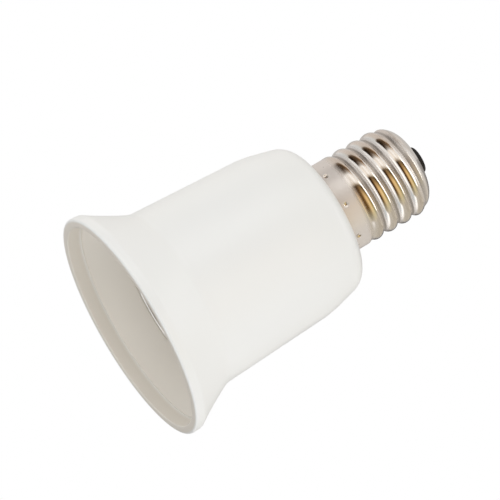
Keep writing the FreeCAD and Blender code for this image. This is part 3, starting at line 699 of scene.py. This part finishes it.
plating = spread(tree, threaded, 0.0, 1.0, SKIRT_METALLIC, THREAD_METALLIC)
feed(tree, maths(tree, "ADD", plating, polish), shader["Metallic"])
bright_plate = tinted(tree, noise(tree, where, scale=160.0), *BRIGHT_NICKEL)
share = spread(tree, bright, 0.0, BRIGHT_ENOUGH)
plate = mixed(tree, "MIX", share, DULL_NICKEL, bright_plate)
# Painted shade: the bottom of the grooves is mixed towards a dark colour.
groove_radius = CAP_CREST - CAP_DEPTH
groove_shade = maths(
    tree, "MULTIPLY", threaded,
    spread(
        tree, radius, (groove_radius + GROOVE_SHADE_FULL) * MM,
        (groove_radius + GROOVE_SHADE_CLEAR) * MM, 1.0, 0.0,
    ),
)
feed(tree, mixed(tree, "MIX", groove_shade, plate, GROOVE_SHADE_COLOUR), shader["Base Color"])
cap_shell.data.materials.append(nickel)

# Tip of the cap: a black moulded collar round the hole, a brass eyelet through it, and a bead
# of solder that closes the eyelet and is the centre contact of the adapter.
TIP_HOLE = 0.90
TIP_PLATE = 55.40
TIP_BOSS_RADIUS = 2.57
TIP_TOP = 58.634
TIP_BOSS = 0.90
TIP_TOP_RADIUS = 2.02
TIP_ROUND = 0.32
TIP_COLUMNS = 96
EYELET_RADIUS = 1.28
EYELET_SEAT_ROUND = 0.10
EYELET_SEAT_DEPTH = 0.25
BEAD_RADIUS = 1.24
BEAD_STEM = (0.45, 0.45, 0.6)
TIP_SOLDER_HEIGHT = 0.349


def worn_finish(
    name, metallic, colours, colour_scale, roughness, roughness_scale,
    bump_scale=None, bump_depth=0.0, bump_strength=0.4, bump_detail=3.0, bump_stretch=(1, 1, 1),
    specular=0.5,
):
    """Material whose colour and roughness wander between two values, and which has a fine
    grain where a scale is given for its bumps."""
    made, tree, shader, where = new_finish(name, metallic)
    shader["Specular IOR Level"].default_value = specular
    feed(tree, tinted(tree, noise(tree, where, colour_scale), *colours), shader["Base Color"])
    feed(tree, wandering(tree, noise(tree, where, roughness_scale), *roughness), shader["Roughness"])
    if bump_scale:
        pattern = noise(tree, where, bump_scale, bump_detail, bump_stretch)
        grain(tree, shader, pattern, bump_depth, bump_strength)
    return made


collar = bmesh.new()
wire_profile(collar, [
    (TIP_HOLE, TIP_PLATE, 0, 0),
    (TIP_BOSS_RADIUS, TIP_PLATE, 0, 0),
    (TIP_BOSS_RADIUS, TIP_TOP - TIP_BOSS, 0, 0),
    (TIP_TOP_RADIUS + TIP_ROUND, TIP_TOP, TIP_ROUND, 8),
    (EYELET_RADIUS, TIP_TOP, EYELET_SEAT_ROUND, 3),
    (EYELET_RADIUS, TIP_TOP - EYELET_SEAT_DEPTH, 0, 0),
    (TIP_HOLE, TIP_TOP - EYELET_SEAT_DEPTH, 0, 0),
], closed=True)
spin_round(collar, TIP_COLUMNS)
tip_collar = finished("tip_collar", collar)
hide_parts("tip_insulator")
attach(tip_collar, "adapter")

black = worn_finish(
    "black_moulded_plastic", metallic=0.0,
    colours=((0.006, 0.006, 0.006, 1), (0.014, 0.013, 0.012, 1)), colour_scale=1200.0,
    roughness=(0.45, 0.6), roughness_scale=800.0, bump_scale=2500.0, bump_depth=0.00002,
    specular=0.25,
)
tip_collar.data.materials.append(black)

bead = bmesh.new()
bmesh.ops.create_uvsphere(bead, u_segments=48, v_segments=24, radius=1.0)
stem = [vert for vert in bead.verts if vert.co.z < 0]
bmesh.ops.scale(bead, verts=stem, vec=BEAD_STEM)
bmesh.ops.scale(
    bead, verts=bead.verts, vec=(BEAD_RADIUS * MM, BEAD_RADIUS * MM, TIP_SOLDER_HEIGHT * MM),
)
bmesh.ops.translate(bead, verts=bead.verts, vec=(0, 0, TIP_TOP * MM))
tip_bead = finished("tip_bead", bead, sharp_angle=60.0)
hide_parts("tip_solder")
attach(tip_bead, "adapter")

solder = worn_finish(
    "tin_solder", metallic=1.0,
    colours=((0.55, 0.55, 0.56, 1), (0.74, 0.74, 0.75, 1)), colour_scale=900.0,
    roughness=(0.2, 0.45), roughness_scale=1800.0,
    bump_scale=1500.0, bump_depth=0.00006, bump_strength=0.5,
)
tip_bead.data.materials.append(solder)

# Lamp sleeve: the female screw, thin plated sheet with a deep round thread and a rolled front
# lip, its bottom turned in to a flange on the floor of the bore. One tab is left in the flange
# for the lead to be soldered to.
SLEEVE_ROOT = 13.30
SLEEVE_SHEET = 0.35
SLEEVE_PITCH = 3.629
SLEEVE_DEPTH = 1.02
SLEEVE_CREST_SHARE = 0.5
SLEEVE_THREAD_START = 9.80
SLEEVE_THREAD_END = 26.60
SLEEVE_FADE = 2.60
SLEEVE_BEND = 0.90
FLANGE_RADIUS = 9.00
SLEEVE_ROWS = 104
LIP_CENTRE = 13.47
LIP_BOTTOM = 7.86
LIP_RADIUS = 0.20
TAB_CENTRE = 5.40
TAB_HALF_WIDTH = 1.60
TAB_OVERLAP = 0.20
TAB_SEGMENTS = 48
TAB_ANGLE = math.radians(116.0)


def sleeve_press(turn_share, height):
    """How deep the thread is pressed into the sleeve's sheet."""
    share = faded((height - SLEEVE_THREAD_START) / SLEEVE_FADE)
    share *= faded((SLEEVE_THREAD_END - height) / SLEEVE_FADE)
    along = height - SLEEVE_THREAD_START - SLEEVE_PITCH * turn_share
    return share * thread_drop(along, SLEEVE_PITCH, SLEEVE_DEPTH, SLEEVE_CREST_SHARE)


sleeve = bmesh.new()
wire_profile(sleeve, [
    (SLEEVE_ROOT, SLEEVE_FRONT, 0, 0),
    (SLEEVE_ROOT, FLOOR_HEIGHT - SLEEVE_SHEET, SLEEVE_BEND, 8),
    (FLANGE_RADIUS, FLOOR_HEIGHT - SLEEVE_SHEET, 0, 0),
], closed=False)
cut_rows(sleeve, SLEEVE_ROWS)
spin_round(sleeve, COLUMNS)
roll_thread(sleeve, sleeve_press)
bmesh.ops.recalc_face_normals(sleeve, faces=sleeve.faces)
lamp_sleeve = finished("lamp_sleeve", sleeve, sharp_angle=60.0)
walled(lamp_sleeve, SLEEVE_SHEET, 1.0)
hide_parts("socket_sleeve")
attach(lamp_sleeve, "adapter")

sleeve_plate = worn_finish(
    "sleeve_plate", metallic=1.0,
    colours=((0.79, 0.765, 0.71, 1), (0.86, 0.845, 0.81, 1)), colour_scale=120.0,
    roughness=(0.16, 0.30), roughness_scale=300.0,
    bump_scale=700.0, bump_depth=0.00004, bump_strength=0.3, bump_detail=4.0, bump_stretch=(1, 1, 3),
)
lamp_sleeve.data.materials.append(sleeve_plate)

lip = bmesh.new()
wire_profile(lip, [
    (LIP_CENTRE + side * LIP_RADIUS, LIP_BOTTOM + level * LIP_RADIUS, LIP_RADIUS, 6)
    for side, level in ((-1, 0), (1, 0), (1, 2), (-1, 2))
], closed=True)
spin_round(lip, COLUMNS)
sleeve_lip = finished("sleeve_lip", lip, sharp_angle=80.0)
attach(sleeve_lip, "adapter")
sleeve_lip.data.materials.append(sleeve_plate)

tab = bmesh.new()
bmesh.ops.create_circle(tab, cap_ends=True, segments=TAB_SEGMENTS, radius=TAB_HALF_WIDTH * MM)
root = [vert for vert in tab.verts if vert.co.x > MERGE]
bmesh.ops.scale(tab, verts=root, vec=(0, 1, 1))
bmesh.ops.translate(tab, verts=root, vec=((FLANGE_RADIUS + TAB_OVERLAP - TAB_CENTRE) * MM, 0, 0))
bmesh.ops.translate(
    tab, verts=tab.verts, vec=(TAB_CENTRE * MM, 0, (FLOOR_HEIGHT - SLEEVE_SHEET / 2) * MM),
)
bmesh.ops.rotate(tab, verts=tab.verts, cent=(0, 0, 0), matrix=Matrix.Rotation(TAB_ANGLE, 3, "Z"))
sleeve_tab = finished("sleeve_tab", tab)
walled(sleeve_tab, SLEEVE_SHEET, 0.0)
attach(sleeve_tab, "adapter")
sleeve_tab.data.materials.append(sleeve_plate)

# Centre contact: a strip of spring bronze, riveted flat to the pad at one end and bent up to a
# rounded nose over the axis. It flexes at the bend beside the rivet when a lamp is screwed in.
LEAF_ROOT = -5.80
LEAF_BEND_X = -1.55
LEAF_BEND_ROUND = 0.34
LEAF_LEVEL = 30.125
LEAF_THICKNESS = 0.35
LEAF_HALF_WIDTH = 2.50
LEAF_RISE_ANGLE = math.radians(38.0)
LEAF_FALL_ANGLE = math.radians(32.0)
NOSE_REACH = 4.50
NOSE_RISE = 4.05
NOSE_SPARE = 0.12
NOSE_ROUND = 0.70
LEAF_TAIL = 2.00

leaf = bmesh.new()
nose_x = LEAF_BEND_X + LEAF_BEND_ROUND + NOSE_REACH * math.cos(LEAF_RISE_ANGLE)
nose_z = LEAF_LEVEL - NOSE_SPARE - NOSE_RISE * math.sin(LEAF_RISE_ANGLE)
tail_x = nose_x + LEAF_TAIL * math.cos(LEAF_FALL_ANGLE)
tail_z = nose_z + LEAF_TAIL * math.sin(LEAF_FALL_ANGLE)
wire_profile(leaf, [
    (LEAF_ROOT, LEAF_LEVEL, 0, 0),
    (LEAF_BEND_X + LEAF_BEND_ROUND, LEAF_LEVEL, LEAF_BEND_ROUND, 6),
    (nose_x, nose_z, NOSE_ROUND, 10),
    (tail_x, tail_z, 0, 0),
], closed=False)
strip = bmesh.ops.extrude_edge_only(leaf, edges=leaf.edges[:])
moved = [item for item in strip["geom"] if isinstance(item, bmesh.types.BMVert)]
bmesh.ops.translate(leaf, verts=moved, vec=(0, 2 * LEAF_HALF_WIDTH * MM, 0))
bmesh.ops.translate(leaf, verts=leaf.verts, vec=(0, -LEAF_HALF_WIDTH * MM, 0))
bmesh.ops.recalc_face_normals(leaf, faces=leaf.faces)
contact = finished("contact_strip", leaf, sharp_angle=50.0)
walled(contact, LEAF_THICKNESS, 0.0)
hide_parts("centre_contact")
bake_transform(contact)

bronze = worn_finish(
    "spring_bronze", metallic=1.0,
    colours=((0.60, 0.36, 0.16, 1), (0.74, 0.50, 0.26, 1)), colour_scale=300.0,
    roughness=(0.2, 0.38), roughness_scale=500.0,
    bump_scale=900.0, bump_depth=0.00003, bump_detail=4.0, bump_stretch=(1, 6, 1),
)
contact.data.materials.append(bronze)

# Small parts that keep their solid's own shape: the eyelet, rivet and tag in brass, the zinc
# screws, the solder beads, the copper leads and their sleevings inside the neck.
brass = worn_finish(
    "plain_brass", metallic=1.0,
    colours=((0.62, 0.42, 0.15, 1), (0.78, 0.58, 0.26, 1)), colour_scale=400.0,
    roughness=(0.22, 0.42), roughness_scale=600.0, bump_scale=1200.0, bump_depth=0.00003,
)
zinc = worn_finish(
    "zinc_plated_steel", metallic=1.0,
    colours=((0.56, 0.57, 0.59, 1), (0.70, 0.70, 0.69, 1)), colour_scale=500.0,
    roughness=(0.24, 0.42), roughness_scale=700.0, bump_scale=1500.0, bump_depth=0.00003,
)
copper = worn_finish(
    "copper_wire", metallic=1.0,
    colours=((0.62, 0.25, 0.13, 1), (0.80, 0.42, 0.26, 1)), colour_scale=500.0,
    roughness=(0.22, 0.4), roughness_scale=900.0,
)
black_sleeving = worn_finish(
    "black_sleeving", metallic=0.0,
    colours=((0.015, 0.015, 0.015, 1), (0.04, 0.04, 0.04, 1)), colour_scale=900.0,
    roughness=(0.42, 0.62), roughness_scale=700.0,
)
white_sleeving = worn_finish(
    "white_sleeving", metallic=0.0,
    colours=((0.74, 0.74, 0.71, 1), (0.82, 0.82, 0.80, 1)), colour_scale=900.0,
    roughness=(0.42, 0.62), roughness_scale=700.0,
)

NODE_FINISHES = {
    "sleeve_screws": zinc,
    "tip_eyelet": brass,
    "centre_rivet": brass,
    "centre_tag": brass,
    "centre_lead_core": copper,
    "centre_lead_jacket": black_sleeving,
    "tag_solder": solder,
    "sleeve_lead_core": copper,
    "sleeve_lead_jacket": white_sleeving,
    "sleeve_solder": solder,
}
for node, finish in NODE_FINISHES.items():
    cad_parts[node].material_slots[0].material = finish
